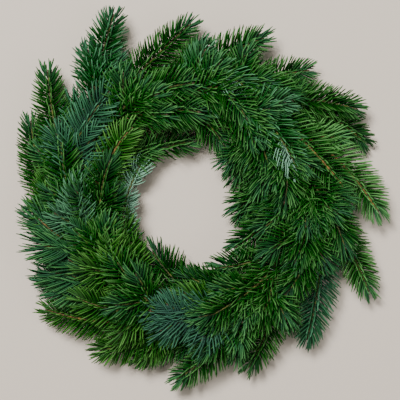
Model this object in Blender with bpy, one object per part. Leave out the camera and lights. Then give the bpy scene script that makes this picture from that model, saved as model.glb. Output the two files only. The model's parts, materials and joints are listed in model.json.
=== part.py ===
"""Advent wreath: sprays of fir bound with wire round a straw ring. Metres, +Z up, lying on z = 0.

Places are given round the ring: a clock angle in degrees, clockwise seen from above from 12 o'clock,
a distance from the ring's centre, and, round the ring's own section, a seat angle in degrees from its
outermost line (0) over the top (90) to its innermost line (180).
"""

import math
import random

import bmesh
import bpy
import numpy as np

MM = 0.001
GAP = 0.3 * MM

# Straw ring: about 25 cm across, bound tight, with a flat underside
RING_RADIUS = 112 * MM
STRAW_RADIUS = 17.5 * MM
SECTION_SIDES = 12
WIRE_TURNS = 18
LINES_PER_TURN = 3
WIRE_BITE = 1.9 * MM
RING_HEIGHT = STRAW_RADIUS * math.cos(math.pi / SECTION_SIDES)

# Binding wire: in the straw underneath, over the stems on the rest of the ring
WIRE_THICKNESS = 1.2 * MM
WIRE_OFF_STRAW = 1.0 * MM
HUMP_ARC = 32

# Twigs
STEM_RADIUS = 1.8 * MM
TIP_RADIUS = 1.3 * MM
BUD_LENGTH = 4.0 * MM
STEM_LIFT = 0.5 * MM
LEAST_OFF_STRAW = 0.1 * MM
LEAST_OFF_WIRE = 0.1 * MM
STEM_SPACE = 0.6 * MM
MOST_LENGTH = 190 * MM
BOUND_ARC = 6
LEAST_LEAD = 13
TWIG_SWELL = 2 * MM
STEM_STEP = 9 * MM
TWIG_SPACE = 1.5 * MM
LIFT_STEP = 1.0 * MM
MOST_LIFT = 14 * MM
SEAT_SHIFTS = (0, 12, -12, 24, -24)
LIFT_SHARES = (0, 0, 0.15, 0.8, 1, 1)
SHOWN_RISE = 0.6
SHOWN_LIFT = 3 * MM
CURVE_STEPS = 24
FINE_STEP = 0.5 * MM

# Needles: three-sided, raised from the twig's own faces
NEEDLE_STEP = 6.9 * MM
NEEDLE_LENGTH = 23 * MM
NEEDLE_LEAD = 6 * MM
# Degrees above the twig's side, for faces turned down and up, and for the rear and front half of each
RISES = {False: (-42, -8), True: (62, 22)}
STEEP_RISE = 50
HALF_STEP = 0.5
TIP_SHARE = 0.3
TIP_SWEEP = 30
SIDE_SWEEP = 58
UPPER_LEAN = 12
TIP_LENGTH = 0.72
LENGTH_SPREAD = (0.92, 1.04)
UPPER_LENGTH = 0.9
KIN_ROOT = 0.995
LEAST_PART = math.radians(2)
MERGE = 0.05 * MM
SPARE_ROOT = 1.2
LOOSE_TURN = 5
LOOSE_LEAN = 4
TRY_SIZES = (9, 18, 28, 38)
TRY_WAYS = ((1, 0), (-1, 0), (0, -0.6), (1, -0.4), (-1, -0.4), (0, 0.4))
LEAST_SWEEP = 16
MOST_SWEEP = 78
LEAST_OUTWARD = 0.2
MOST_ENDWISE = 0.9
NEEDLE_REACH = 1.6
CHECKED_SHARES = np.linspace(0.12, 1, 7)[:, None]
FRAME_SPACE = 1.2 * MM
SHORTER = (1.0, 0.8, 0.6, 0.45)
MOST_NEEDLES = 8000
SEED = 25

# The clear hole in the middle, from the ring's centre
HOLE_CENTRE = np.array((-6, -7)) * MM
HOLE_HALF = np.array((39, 42)) * MM

# Each spray: seat angle, clock and distance where it comes into view, clock and distance of its tip,
# height of its tip, colour. Angles in degrees, lengths in millimetres.
OUTER_SPRAYS = [
    (10, 317, 150, 337, 210, 26, "blue"),
    (34, 332, 139, 359, 185, 24, "green"),
    (8, 2, 139, 23, 185, 28, "green"),
    (34, 30, 147, 41, 183, 22, "green"),
    (8, 46, 157, 60, 197, 26, "dark"),
    (34, 57, 168, 70, 192, 14, "dark"),
    (8, 74, 160, 92, 194, 24, "green"),
    (34, 96, 149, 116, 206, 20, "green"),
    (8, 115, 149, 139, 186, 22, "blue"),
    (34, 143, 143, 160, 181, 20, "dark"),
    (8, 167, 150, 184, 184, 24, "green"),
    (34, 184, 142, 199, 171, 16, "green"),
    (8, 199, 149, 211, 180, 24, "yellow"),
    (34, 217, 156, 233, 188, 20, "yellow"),
    (8, 228, 139, 242, 173, 14, "blue"),
    (50, 246, 124, 263, 157, 38, "green"),
    (8, 274, 154, 296, 188, 16, "green"),
    (34, 293, 150, 312, 202, 26, "green"),
    (22, 266, 149, 282, 152, 30, "yellow"),
]
INNER_SPRAYS = [
    (150, 262, 72, 304, 66, 26, "pale"),
    (128, 299, 95, 320, 98, 44, "yellow"),
    (134, 269, 94, 296, 94, 40, "dark"),
    (156, 307, 76, 357, 64, 18, "dark"),
    (134, 4, 92, 28, 70, 30, "green"),
    (150, 46, 86, 58, 56, 24, "green"),
    (150, 78, 80, 102, 62, 18, "green"),
    (132, 104, 80, 133, 66, 32, "green"),
    (120, 92, 100, 109, 79, 42, "green"),
    (150, 124, 99, 157, 74, 20, "green"),
    (132, 166, 90, 182, 76, 32, "dark"),
    (116, 166, 107, 183, 94, 44, "yellow"),
    (150, 184, 91, 216, 67, 20, "green"),
    (134, 226, 90, 253, 73, 32, "yellow"),
    (118, 54, 92, 79, 74, 42, "green"),
]
TOP_SPRAYS = [
    (62, 298, 134, 323, 142, 42, "blue"),
    (82, 331, 124, 0, 123, 44, "green"),
    (58, 9, 138, 25, 132, 44, "pale"),
    (74, 24, 142, 44, 148, 40, "green"),
    (92, 15, 121, 33, 104, 46, "green"),
    (98, 39, 117, 71, 114, 48, "pale"),
    (66, 55, 128, 84, 158, 42, "green"),
    (124, 36, 102, 66, 88, 40, "green"),
    (60, 88, 136, 106, 165, 42, "green"),
    (84, 92, 125, 119, 123, 46, "green"),
    (66, 117, 132, 134, 136, 42, "green"),
    (70, 143, 131, 160, 139, 44, "green"),
    (60, 161, 132, 175, 153, 42, "green"),
    (88, 177, 121, 200, 119, 46, "blue"),
    (66, 211, 132, 229, 152, 42, "yellow"),
    (96, 204, 110, 237, 97, 46, "green"),
    (110, 234, 106, 259, 93, 42, "yellow"),
    (82, 263, 118, 278, 119, 48, "pale"),
    (60, 276, 128, 297, 151, 42, "green"),
    (88, 247, 107, 273, 104, 42, "green"),
    (104, 332, 108, 4, 94, 42, "green"),
    (104, 70, 104, 89, 96, 48, "green"),
    (100, 162, 113, 175, 117, 48, "green"),
]

COLOURS = {
    "green": (0.045, 0.130, 0.030),
    "dark": (0.020, 0.070, 0.022),
    "blue": (0.050, 0.125, 0.085),
    "yellow": (0.100, 0.190, 0.025),
    "pale": (0.130, 0.210, 0.130),
}
STRAW_COLOUR = (0.470, 0.330, 0.140)
WIRE_COLOUR = (0.015, 0.060, 0.030)


def make_material(name, colour, roughness, metallic=0.0):
    material = bpy.data.materials.new(name)
    material.use_nodes = True
    shader = material.node_tree.nodes["Principled BSDF"]
    shader.inputs["Base Color"].default_value = (*colour, 1)
    shader.inputs["Roughness"].default_value = roughness
    shader.inputs["Metallic"].default_value = metallic
    return material


def place(clock, radius, height):
    """The point at this clock angle, distance from the ring's centre and height."""
    angle = math.radians(clock)
    return np.array([radius * math.sin(angle), radius * math.cos(angle), height])


def on_section(clock, seat, reach):
    """The point at this clock angle that lies `reach` from the middle of the ring's section."""
    angle = math.radians(seat)
    return place(clock, RING_RADIUS + reach * math.cos(angle), RING_HEIGHT + reach * math.sin(angle))


def section_seat(side):
    """Seat angle of a corner of the section, from the outer side of its lowest line up and round."""
    return -90 + (side + 0.5) * 360 / SECTION_SIDES


def add_object(name, mesh, material, collection):
    mesh.materials.clear()
    mesh.materials.append(material)
    obj = bpy.data.objects.new(name, mesh)
    collection.objects.link(obj)
    return obj


def straw_ring(collection):
    """A ring whose lines follow the wire: each is drawn in where a turn lies and full between turns."""
    lines = WIRE_TURNS * LINES_PER_TURN
    bm = bmesh.new()
    grid = []
    for line in range(lines):
        drawn_in = WIRE_BITE if line % LINES_PER_TURN == 0 else 0
        row = []
        for side in range(SECTION_SIDES):
            clock = 360 * (line / lines + side / SECTION_SIDES / WIRE_TURNS)
            row.append(bm.verts.new(on_section(clock, section_seat(side), STRAW_RADIUS - drawn_in)))
        grid.append(row)
    for line in range(lines):
        for side in range(SECTION_SIDES):
            # Once round the section, a line has moved on by one turn of the wire
            wraps = side == SECTION_SIDES - 1
            above = line + LINES_PER_TURN if wraps else line
            next_side = (side + 1) % SECTION_SIDES
            corners = (
                grid[line][side],
                grid[above % lines][next_side],
                grid[(above + 1) % lines][next_side],
                grid[(line + 1) % lines][side],
            )
            bm.faces.new(corners)
    bmesh.ops.recalc_face_normals(bm, faces=bm.faces)
    mesh = bpy.data.meshes.new("straw_ring")
    bm.to_mesh(mesh)
    bm.free()
    return add_object("straw_ring", mesh, make_material("straw", STRAW_COLOUR, 0.8), collection)


def turn_clock(turn, seat):
    """The clock angle at which this turn of the wire crosses this seat."""
    return 360 * (turn + (seat - section_seat(0)) / 360) / WIRE_TURNS


def wire_route(crossings):
    """The wire's points: it bites into the straw, and humps over each stem that it crosses.

    A crossing is the number of a turn and the seat of a stem that it holds.
    """
    in_straw = STRAW_RADIUS - WIRE_BITE + WIRE_OFF_STRAW
    over_stem = STRAW_RADIUS + STEM_LIFT + 2 * STEM_RADIUS + GAP + WIRE_THICKNESS / 2
    over_stem /= math.cos(math.pi / SECTION_SIDES)
    route = []
    for turn in range(WIRE_TURNS):
        for side in range(SECTION_SIDES):
            seat = section_seat(side)
            held = any(turn == stem[0] and abs(seat - stem[1]) < HUMP_ARC for stem in crossings)
            route.append(on_section(turn_clock(turn, seat), seat, over_stem if held else in_straw))
    return np.array(route)


def tube_mesh(name, points, radii, cyclic=False, twist="Z_UP"):
    """A four-sided tube with closed ends, made as a curve and returned as a mesh."""
    curve = bpy.data.curves.new(name, "CURVE")
    curve.dimensions = "3D"
    curve.twist_mode = twist
    curve.bevel_depth = 1
    curve.bevel_resolution = 0
    curve.use_fill_caps = True
    spline = curve.splines.new("POLY")
    spline.points.add(len(points) - 1)
    spline.use_cyclic_u = cyclic
    for control, point, radius in zip(spline.points, points, radii):
        control.co = (*point, 1)
        control.radius = radius
    obj = bpy.data.objects.new(name, curve)
    bpy.context.scene.collection.objects.link(obj)
    graph = bpy.context.evaluated_depsgraph_get()
    mesh = bpy.data.meshes.new_from_object(obj.evaluated_get(graph))
    bpy.data.objects.remove(obj)
    bpy.data.curves.remove(curve)
    return mesh


def binding_wire(route, collection):
    mesh = tube_mesh("binding_wire", route, [WIRE_THICKNESS / 2] * len(route), True, "MINIMUM")
    return add_object("binding_wire", mesh, make_material("wire", WIRE_COLOUR, 0.35, 0.4), collection)


def smooth_route(knots, spacing):
    """Points about `spacing` apart on a smooth curve through the knots."""
    knots = np.array(knots)
    spans = np.linalg.norm(np.diff(knots, axis=0), axis=1)[:, None]
    slopes = np.diff(knots, axis=0) / spans
    inner = (slopes[:-1] * spans[1:] + slopes[1:] * spans[:-1]) / (spans[:-1] + spans[1:])
    ways = [2 * slopes[0] - inner[0], *inner, 2 * slopes[-1] - inner[-1]]
    fine = []
    for start, end, way, next_way, span in zip(knots, knots[1:], ways, ways[1:], spans):
        for t in np.linspace(0, 1, CURVE_STEPS, endpoint=False):
            fine.append(
                (2 * t**3 - 3 * t**2 + 1) * start
                + (t**3 - 2 * t**2 + t) * span * way
                + (3 * t**2 - 2 * t**3) * end
                + (t**3 - t**2) * span * next_way
            )
    fine = np.array([*fine, knots[-1]])
    along = np.concatenate([[0], np.cumsum(np.linalg.norm(np.diff(fine, axis=0), axis=1))])
    stations = np.linspace(0, along[-1], max(2, round(along[-1] / spacing) + 1))
    return np.stack([np.interp(stations, along, fine[:, axis]) for axis in range(3)], axis=1)


def with_bud(route):
    """The route, drawn on to the point of the bud at its tip."""
    way = route[-1] - route[-2]
    return np.concatenate([route, [route[-1] + way * BUD_LENGTH / np.linalg.norm(way)]])


def bound_knots(crossing):
    """Where a stem lies on the straw, under the turn of wire that holds it."""
    turn, seat = crossing
    reach = STRAW_RADIUS + STEM_LIFT + STEM_RADIUS
    return [on_section(turn_clock(turn, seat) + arc, seat, reach) for arc in (-BOUND_ARC, 0, BOUND_ARC)]


def twig_knots(spray, crossing, lift):
    """From its end, along the ring under its turn of wire, out from under its neighbours, to its tip."""
    _, clock, distance, tip_clock, tip_distance, tip_height, _ = spray
    bound = bound_knots(crossing)
    shown_height = bound[-1][2] + SHOWN_RISE * (tip_height * MM - bound[-1][2]) + SHOWN_LIFT
    shown = place(clock, distance * MM, shown_height)
    tip = place(tip_clock, tip_distance * MM, tip_height * MM)
    outward = (shown + tip) / 2
    outward /= np.linalg.norm(outward)
    middle = (shown + tip) / 2 + TWIG_SWELL * outward
    knots = [*bound, shown, middle, tip]
    return [knot + np.array([0, 0, lift * share]) for knot, share in zip(knots, LIFT_SHARES)]


def rod_gaps(starts, ends, radius, others):
    """Space between rods of one radius (rows) and the laid rods (columns), surface to surface."""
    runs = (ends - starts)[:, None]
    other_runs = others.ends - others.starts
    between = starts[:, None] - others.starts
    a = np.einsum("ijk,ijk->ij", runs, runs)
    e = np.einsum("jk,jk->j", other_runs, other_runs)
    f = np.einsum("jk,ijk->ij", other_runs, between)
    b = np.einsum("ijk,jk->ij", runs, other_runs)
    c = np.einsum("ijk,ijk->ij", runs, between)
    spread = np.maximum(a * e - b * b, 1e-18)
    s = np.clip((b * f - c * e) / spread, 0, 1)
    t = np.clip((b * s + f) / e, 0, 1)
    s = np.clip((b * t - c) / a, 0, 1)
    apart = between + s[..., None] * runs - t[..., None] * other_runs
    return np.linalg.norm(apart, axis=2) - radius - others.radii


class Rods:
    """Twigs and wire as short straight rods."""

    def __init__(self, starts=(), ends=(), radii=(), owners=()):
        self.starts = np.reshape(starts, (-1, 3))
        self.ends = np.reshape(ends, (-1, 3))
        self.radii = np.array(radii)
        self.owners = np.array(owners, int)

    def add(self, route, radius, owner, closed=False):
        ends = np.roll(route, -1, axis=0) if closed else route[1:]
        starts = route[: len(ends)]
        self.starts = np.concatenate([self.starts, starts])
        self.ends = np.concatenate([self.ends, ends])
        self.radii = np.concatenate([self.radii, np.full(len(ends), radius)])
        self.owners = np.concatenate([self.owners, np.full(len(ends), owner)])

    def near(self, centre, reach, skip=None):
        """Those that come within reach of this place, without those of the owner to skip."""
        apart = np.linalg.norm((self.starts + self.ends) / 2 - centre, axis=1)
        chosen = (apart < reach + STEM_STEP) & (self.owners != skip)
        return Rods(self.starts[chosen], self.ends[chosen], self.radii[chosen], self.owners[chosen])


class Needles:
    """The needles grown so far: the three corners of each root, its tip, and the twig that it is on."""

    def __init__(self, most):
        self.count = 0
        self.roots = np.zeros((most, 3, 3))
        self.tips = np.zeros((most, 3))
        self.owners = np.zeros(most, int)

    def add(self, root, tip, owner):
        self.roots[self.count] = root
        self.tips[self.count] = tip
        self.owners[self.count] = owner
        self.count += 1

    def near(self, centre, reach):
        """The numbers of those whose middles lie within reach of this place."""
        middles = (self.roots[: self.count].mean(axis=1) + self.tips[: self.count]) / 2
        return np.nonzero(np.linalg.norm(middles - centre, axis=1) < reach)[0]


def edge_hits(starts, ends, first, second, third):
    """Whether each edge passes through the triangle beside it."""
    along = ends - starts
    one_side = second - first
    other_side = third - first
    normal = np.cross(along, other_side)
    scale = (one_side * normal).sum(-1)
    scale = np.where(np.abs(scale) < 1e-18, 1e-18, scale)
    offset = starts - first
    u = (offset * normal).sum(-1) / scale
    turned = np.cross(offset, one_side)
    v = (along * turned).sum(-1) / scale
    t = (other_side * turned).sum(-1) / scale
    return (u >= 0) & (v >= 0) & (u + v <= 1) & (t >= 0) & (t <= 1)


def needle_hits(root, tip, roots, tips):
    """Which of the needles with these roots and tips cross the first one."""
    following = np.roll(roots, -1, axis=1)
    apexes = tips[:, None, None]
    through_others = edge_hits(root[None, :, None], tip, roots[:, None], following[:, None], apexes)
    own_next = np.roll(root, -1, axis=0)
    through_own = edge_hits(roots[:, :, None], apexes, root[None, None], own_next[None, None], tip)
    return (through_others | through_own).any(axis=(1, 2))


def about_centre(root, share):
    """A root's corners, or those of many roots, drawn in or out from its middle."""
    middle = root.mean(axis=-2, keepdims=True)
    return middle + share * (root - middle)


def edge_neighbours(root, roots, tips):
    """For each needle whose root shares an edge: the edge's ends, both third corners and its tip."""
    found = []
    for other, other_tip in zip(roots, tips):
        apart = np.linalg.norm(root[:, None] - other[None], axis=2) < MERGE / 2
        if apart.sum() == 2:
            own = root[~apart.any(axis=1)][0]
            found.append((*root[apart.any(axis=1)], own, other[~apart.any(axis=0)][0], other_tip))
    return found


def lean_apart(tip, neighbour):
    """Whether some plane through the shared edge of two roots keeps the two needles on its two sides."""
    start, end, own_corner, other_corner, other_tip = neighbour
    along = (end - start) / np.linalg.norm(end - start)
    aside = own_corner - start
    aside = aside - (aside @ along) * along
    above = np.cross(along, aside)
    ways = (own_corner - start, tip - start, start - other_corner, start - other_tip)
    turns = [math.atan2(way @ above, way @ aside) for way in ways]
    return max(turns) - min(turns) < math.pi - LEAST_PART


def clear_of_frame(points):
    """Whether these points along a needle keep off the straw, the table and the hole."""
    from_axis = np.hypot(points[:, 0], points[:, 1]) - RING_RADIUS
    from_straw = np.hypot(from_axis, points[:, 2] - RING_HEIGHT) - STRAW_RADIUS
    from_hole = np.abs(points[:, :2] - HOLE_CENTRE) - HOLE_HALF
    in_hole = (from_hole < FRAME_SPACE).all(axis=1)
    off_table = points[:, 2] > FRAME_SPACE
    return bool(((from_straw > FRAME_SPACE) & off_table & ~in_hole).all())


def choose_crossing(spray, stems):
    """The turn of wire that holds a stem, and the seat nearest its own that no other stem has there."""
    for shift in SEAT_SHIFTS:
        seat = spray[0] + shift
        lead = spray[1] - LEAST_LEAD - turn_clock(0, seat)
        turn = math.floor(lead * WIRE_TURNS / 360) % WIRE_TURNS
        route = np.array(bound_knots((turn, seat)))
        others = stems.near(route[1], 2 * STEM_STEP)
        if not len(others.radii) or rod_gaps(route[:-1], route[1:], STEM_RADIUS, others).min() > STEM_SPACE:
            break
    stems.add(route, STEM_RADIUS, -1)
    return turn, seat


def lay_twig(spray, crossing, rods, wire):
    """The twig's knots, lifted no more than it takes to clear the straw, the wire and other twigs."""
    best = (-1, None)
    for lift in np.arange(0, MOST_LIFT, LIFT_STEP):
        knots = twig_knots(spray, crossing, lift)
        route = with_bud(smooth_route(knots, STEM_STEP / 2))
        others = rods.near(route[len(route) // 2], MOST_LENGTH / 2)
        spaces = [MOST_LIFT]
        if len(others.radii):
            spaces.append(rod_gaps(route[:-1], route[1:], STEM_RADIUS, others).min())
        from_axis = np.hypot(route[:, 0], route[:, 1]) - RING_RADIUS
        from_straw = np.hypot(from_axis, route[:, 2] - RING_HEIGHT) - STRAW_RADIUS - STEM_RADIUS
        spaces.append(from_straw.min() + TWIG_SPACE - LEAST_OFF_STRAW)
        from_wire = rod_gaps(route[:-1], route[1:], STEM_RADIUS, wire).min()
        spaces.append(from_wire + TWIG_SPACE - LEAST_OFF_WIRE)
        if min(spaces) > best[0] + LIFT_STEP / 10:
            best = (min(spaces), knots)
        if min(spaces) > TWIG_SPACE:
            break
    return best[1]


def twig_route(knots):
    """Points and radii along the twig, closer together where needles grow, and where they start."""
    fine = smooth_route(knots, FINE_STEP)
    along = np.concatenate([[0], np.cumsum(np.linalg.norm(np.diff(fine, axis=0), axis=1))])
    shown = np.linalg.norm(fine - knots[3], axis=1).argmin()
    bare = along[shown] - NEEDLE_LEAD
    needled = along[-1] - bare
    stem_stations = np.linspace(0, bare, max(2, round(bare / STEM_STEP)), endpoint=False)
    tip_stations = np.linspace(bare, along[-1], round(needled / NEEDLE_STEP) + 1)
    stations = np.concatenate([stem_stations, tip_stations])
    points = np.stack([np.interp(stations, along, fine[:, axis]) for axis in range(3)], axis=1)
    radii = np.interp(stations, [0, along[-1]], [STEM_RADIUS, TIP_RADIUS])
    return points, radii, len(stem_stations)


def needle_direction(frame, azimuth, sweep):
    """A unit vector `sweep` degrees off the twig's own direction, `azimuth` degrees round it."""
    forward, side, up = frame
    turn = math.radians(azimuth)
    outward = math.cos(turn) * side + math.sin(turn) * up
    lean = math.radians(sweep)
    return math.cos(lean) * forward + math.sin(lean) * outward


def twig_frame(points, position):
    """The twig's direction, its side and its upper side at this place on its route."""
    first = min(int(position), len(points) - 2)
    forward = points[first + 1] - points[first]
    forward = forward / np.linalg.norm(forward)
    side = np.cross(forward, (0, 0, 1))
    side = side / np.linalg.norm(side)
    return forward, side, np.cross(side, forward)


def place_on_route(points, spot):
    """Where along the route, in steps, the point nearest to the spot lies."""
    runs = np.diff(points, axis=0)
    shares = np.einsum("ij,ij->i", spot - points[:-1], runs) / np.einsum("ij,ij->i", runs, runs)
    shares = np.clip(shares, 0, 1)
    nearest = np.linalg.norm(points[:-1] + shares[:, None] * runs - spot, axis=1).argmin()
    return nearest + shares[nearest]


def spread_tries(draw):
    """Turns of azimuth and sweep to try, nearest the natural direction first."""
    turn = draw.uniform(-LOOSE_TURN, LOOSE_TURN)
    lean = draw.uniform(-LOOSE_LEAN, LOOSE_LEAN)
    tries = [(turn, lean)]
    for size in TRY_SIZES:
        for sideways, forward in TRY_WAYS:
            tries.append((turn + sideways * size, lean + forward * size))
    return tries


def grow_needle(root, normal, frame, azimuth, sweep, length, rods, needles, owner, draw):
    """The tip of a needle that crosses nothing, or None where there is no room."""
    centre = root.mean(axis=0)
    directions = [
        needle_direction(frame, azimuth + turn, min(MOST_SWEEP, max(LEAST_SWEEP, sweep + lean)))
        for turn, lean in spread_tries(draw)
    ]
    near = needles.near(centre, NEEDLE_REACH * length)
    kin = needles.owners[near] == owner
    # Needles of one twig may meet at the edges of their roots, so both roots are drawn in a little
    kin_roots = about_centre(needles.roots[near[kin]], KIN_ROOT)
    kin_tips = needles.tips[near[kin]]
    other_roots = needles.roots[near[~kin]]
    other_tips = needles.tips[near[~kin]]
    beside = edge_neighbours(root, needles.roots[near[kin]], kin_tips)
    wood = rods.near(centre, length, skip=owner)
    next_corners = np.roll(root, -1, axis=0)
    for share in SHORTER:
        for direction in directions:
            if direction @ normal < LEAST_OUTWARD:
                continue
            tip = centre + direction * length * share
            if not clear_of_frame(centre + CHECKED_SHARES * (tip - centre)):
                continue
            edges = np.concatenate([root, centre[None]])
            edge_ends = np.broadcast_to(tip, edges.shape)
            if len(wood.radii) and rod_gaps(edges, edge_ends, 0, wood).min() < GAP:
                continue
            if edge_hits(wood.starts[:, None], wood.ends[:, None], root, next_corners, tip).any():
                continue
            if not all(lean_apart(tip, neighbour) for neighbour in beside):
                continue
            wide_root = about_centre(root, SPARE_ROOT)
            past_tip = tip + direction * GAP
            if len(other_roots) and needle_hits(wide_root, past_tip, other_roots, other_tips).any():
                continue
            slim_root = about_centre(root, KIN_ROOT)
            if len(kin_roots) and needle_hits(slim_root, tip, kin_roots, kin_tips).any():
                continue
            needles.add(root, tip, owner)
            return tip
    return None


def fir_spray(name, knots, colour, rods, needles, owner, collection, draw):
    """One grown piece: a twig with a bud, each of its side faces drawn out into a needle."""
    points, radii, first_needled = twig_route(knots)
    mesh = tube_mesh(name, points, radii)
    bm = bmesh.new()
    bm.from_mesh(mesh)
    bpy.data.meshes.remove(mesh)
    bmesh.ops.remove_doubles(bm, verts=bm.verts, dist=MERGE)
    caps = [face for face in bm.faces if len(face.verts) == 3]
    from_tip = [np.linalg.norm(np.array(face.calc_center_median()) - points[-1]) for face in caps]
    tip_halves = [face for face, distance in zip(caps, from_tip) if distance < TIP_RADIUS]
    tip_cap = bmesh.utils.face_join(tip_halves)
    bud = bmesh.ops.poke(bm, faces=[tip_cap])["verts"][0]
    last = len(points) - 1
    bud.co = with_bud(points)[-1]
    sides = [face for face in bm.faces if len(face.verts) == 4]
    bmesh.ops.triangulate(bm, faces=sides)
    bm.normal_update()
    growing = []
    for face in bm.faces:
        root = np.array([vert.co for vert in face.verts])
        position = place_on_route(points, root.mean(axis=0))
        frame = twig_frame(points, position)
        normal = np.array(face.normal)
        on_side = abs(normal @ frame[0]) < MOST_ENDWISE and bud not in face.verts
        if position > first_needled and on_side:
            facing = round(math.degrees(math.atan2(normal @ frame[2], normal @ frame[1])), 1)
            growing.append((float(round(last - position, 3)), facing, face, root, frame, normal))
    growing.sort(key=lambda item: item[:2])
    for to_tip, facing, face, root, frame, normal in growing:
        early = (last - to_tip) % 1 < HALF_STEP
        rise = RISES[facing > 0][early]
        azimuth = rise if abs(facing) < 90 else 180 - rise
        ease = min(1, to_tip / (last - first_needled) / TIP_SHARE)
        sweep = TIP_SWEEP + (SIDE_SWEEP - TIP_SWEEP) * ease
        length = NEEDLE_LENGTH * (TIP_LENGTH + (1 - TIP_LENGTH) * ease) * draw.uniform(*LENGTH_SPREAD)
        if rise > STEEP_RISE:
            sweep -= UPPER_LEAN
            length *= UPPER_LENGTH
        tip = grow_needle(root, normal, frame, azimuth, sweep, length, rods, needles, owner, draw)
        if tip is not None:
            spike = bmesh.ops.poke(bm, faces=[face])["verts"][0]
            spike.co = tip
    bm.normal_update()
    mesh = bpy.data.meshes.new(name)
    bm.to_mesh(mesh)
    bm.free()
    return add_object(name, mesh, colour, collection)


def build():
    for obj in list(bpy.data.objects):
        bpy.data.objects.remove(obj)
    collection = bpy.data.collections.new("advent_wreath")
    bpy.context.scene.collection.children.link(collection)
    foliage = {name: make_material(f"fir_{name}", colour, 0.5) for name, colour in COLOURS.items()}
    sprays = [
        (f"{row}_spray_{number:02d}", spray)
        for row, table in (("outer", OUTER_SPRAYS), ("inner", INNER_SPRAYS), ("top", TOP_SPRAYS))
        for number, spray in enumerate(table, 1)
    ]
    stems = Rods()
    crossings = [choose_crossing(spray, stems) for _, spray in sprays]
    route = wire_route(crossings)
    wire = Rods()
    wire.add(route, WIRE_THICKNESS / 2, -1, closed=True)
    rods = Rods()
    twigs = []
    for owner, (_, spray) in enumerate(sprays):
        knots = lay_twig(spray, crossings[owner], rods, wire)
        rods.add(with_bud(twig_route(knots)[0]), STEM_RADIUS, owner)
        twigs.append(knots)
    rods.add(route, WIRE_THICKNESS / 2, len(sprays), closed=True)
    made = [straw_ring(collection), binding_wire(route, collection)]
    needles = Needles(MOST_NEEDLES)
    draw = random.Random(SEED)
    for owner, ((name, spray), knots) in enumerate(zip(sprays, twigs)):
        made.append(fir_spray(name, knots, foliage[spray[-1]], rods, needles, owner, collection, draw))
    middle = bpy.data.objects.new("wreath_middle", None)
    collection.objects.link(middle)
    for obj in made:
        obj.parent = middle
    corners = np.array([vertex.co for obj in made for vertex in obj.data.vertices])
    middle.location = (*(-(corners.min(axis=0) + corners.max(axis=0)) / 2)[:2], 0)


build()
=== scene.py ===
"""Looks of the advent wreath: fir needles, bark, buds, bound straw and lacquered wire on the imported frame.

Each spray follows its solid: the twig runs through the middles of the solid's sections, and rows of finer
needles stand along it. Metres, seen from straight above.
"""

import json
import math
import random

import bmesh
import bpy
import numpy as np
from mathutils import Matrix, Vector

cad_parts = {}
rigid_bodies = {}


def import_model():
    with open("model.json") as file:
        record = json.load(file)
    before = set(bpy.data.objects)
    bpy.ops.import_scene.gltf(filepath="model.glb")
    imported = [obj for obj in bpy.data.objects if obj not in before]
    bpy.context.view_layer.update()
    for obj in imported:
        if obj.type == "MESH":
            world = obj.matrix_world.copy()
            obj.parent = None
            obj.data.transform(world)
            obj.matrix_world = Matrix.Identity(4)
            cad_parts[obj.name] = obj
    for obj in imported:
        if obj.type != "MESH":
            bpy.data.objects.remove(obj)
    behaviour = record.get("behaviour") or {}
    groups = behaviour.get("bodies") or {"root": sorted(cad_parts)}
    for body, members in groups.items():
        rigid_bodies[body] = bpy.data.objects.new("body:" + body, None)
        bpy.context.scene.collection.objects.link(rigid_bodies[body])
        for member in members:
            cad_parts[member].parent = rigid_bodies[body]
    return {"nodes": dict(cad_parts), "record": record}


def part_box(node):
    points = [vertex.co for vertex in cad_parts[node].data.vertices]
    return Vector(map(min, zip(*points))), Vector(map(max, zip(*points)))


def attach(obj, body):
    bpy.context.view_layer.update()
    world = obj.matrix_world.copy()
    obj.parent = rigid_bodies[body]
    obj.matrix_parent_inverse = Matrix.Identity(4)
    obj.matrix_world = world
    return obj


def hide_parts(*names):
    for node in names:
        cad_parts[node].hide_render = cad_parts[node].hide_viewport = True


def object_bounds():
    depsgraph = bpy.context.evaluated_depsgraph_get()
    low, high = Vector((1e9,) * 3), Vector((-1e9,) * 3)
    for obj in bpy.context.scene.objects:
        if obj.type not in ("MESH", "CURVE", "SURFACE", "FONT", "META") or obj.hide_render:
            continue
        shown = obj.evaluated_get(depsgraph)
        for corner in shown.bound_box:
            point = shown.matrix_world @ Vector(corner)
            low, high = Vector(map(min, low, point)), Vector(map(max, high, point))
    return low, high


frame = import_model()
CAD_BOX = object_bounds()

MM = 0.001
# Corners of a solid that lie this near are one
WELD = 0.02 * MM
# A smooth curve's steps between two of its given points
CURVE_STEPS = 8

# The clear hole is oval, and single needles reach a little into it
HOLE_MIDDLE = np.array((-25, -9)) * MM
HOLE_REACH = np.array((46, 59)) * MM
HOLE_SHARES = (0.84, 1.04)
REACHING_SHARES = (0.6, 0.78)

# Reading the solids: the edges round a twig's section are the only short ones
SECTION_EDGE = 3.0 * MM

# Ring, as in the solid
RING_LOW, RING_HIGH = (np.array(corner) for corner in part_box("straw_ring"))
RING_MIDDLE = (RING_LOW + RING_HIGH) / 2
RING_RADIUS = 112 * MM
STRAW_RADIUS = 17.5 * MM
SOLID_SIDES = 12
RING_HEIGHT = STRAW_RADIUS * math.cos(math.pi / SOLID_SIDES)
WIRE_TURNS = 18
WIRE_BITE = 1.9 * MM
WIRE_THICKNESS = 1.2 * MM
WIRE_STEP = 2.2 * MM
WIRE_SIDES = 8

# Flat fir needle: 20 to 27 mm long, rolled a little about its length, its face turned up and forward
BLADE_WIDTH = 1.65 * MM
BLADE_LENGTH = 27 * MM
BLADE_ROLL = 20
FORWARD_FACE = 0.3
# Each row, on both sides: rise above the twig's side, sweep off its direction, share of the length, spacing
SIDE_ROWS = (
    (-26, 56, 0.88, 5.0 * MM),
    (0, 60, 1.0, 3.0 * MM),
    (24, 56, 0.96, 3.5 * MM),
)
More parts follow.
